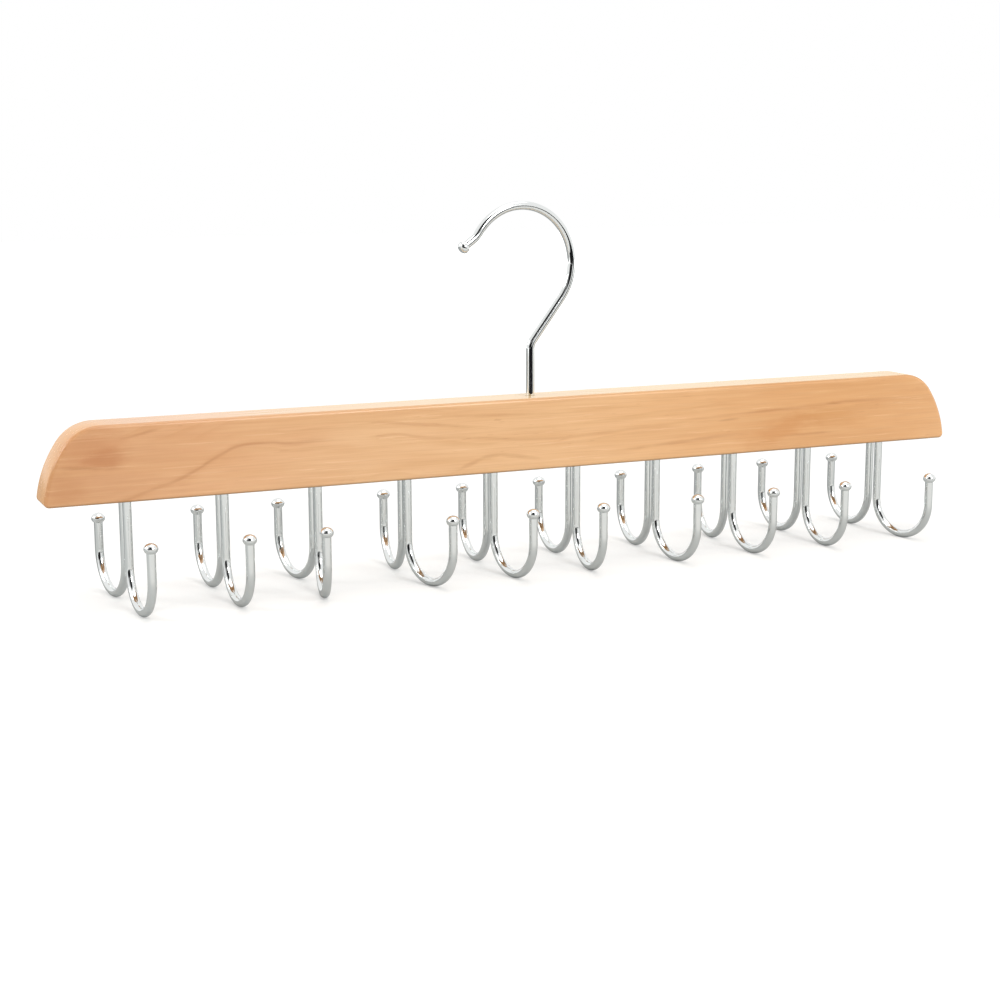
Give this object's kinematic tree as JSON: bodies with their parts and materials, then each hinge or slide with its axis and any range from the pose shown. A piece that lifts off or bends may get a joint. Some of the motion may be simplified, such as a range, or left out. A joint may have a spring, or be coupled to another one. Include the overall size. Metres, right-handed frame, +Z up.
{
  "type": "multi-hook hanger",
  "caption": "Wooden bar hanger with two rows of wire J-hooks below and a swivelling wire hook above, for belts, ties and straps.",
  "frame": {"origin": "on the floor under the middle of the bar, with the hanger standing on the bends of its J-hooks", "axes": "+X along the bar, away from the mouth of the top hook; -Y towards the front row of J-hooks; +Z up along the top hook's shank"},
  "size_m": [0.4464, 0.0786, 0.1669],
  "materials": {
    "lacquered_wood": "pale honey-coloured hardwood with a satin clear lacquer",
    "hook_chrome": "bright chrome plating on bent steel wire",
    "top_chrome": "bright chrome plating on bent steel wire",
    "zinc_fastener": "dull zinc plating"
  },
  "bodies": {
    "hanger_bar": {"bar": "lacquered_wood", "front_hook_01": "hook_chrome", "front_hook_02": "hook_chrome", "front_hook_03": "hook_chrome", "front_hook_04": "hook_chrome", "front_hook_05": "hook_chrome", "front_hook_06": "hook_chrome", "front_hook_07": "hook_chrome", "front_hook_08": "hook_chrome", "front_hook_09": "hook_chrome", "front_hook_10": "hook_chrome", "back_hook_01": "hook_chrome", "back_hook_02": "hook_chrome", "back_hook_03": "hook_chrome", "back_hook_04": "hook_chrome", "back_hook_05": "hook_chrome", "back_hook_06": "hook_chrome", "back_hook_07": "hook_chrome", "back_hook_08": "hook_chrome", "back_hook_09": "hook_chrome", "back_hook_10": "hook_chrome"},
    "swivel_hook": {"top_hook": "top_chrome", "swivel_washer": "zinc_fastener", "swivel_nut": "zinc_fastener"}
  },
  "joints": [
    {"name": "hook_swivel", "type": "hinge", "parent": "hanger_bar", "child": "swivel_hook", "pos_m": [-0.0009, 0, 0.0792], "axis": [0, 0, 1], "continuous": true}
  ]
}
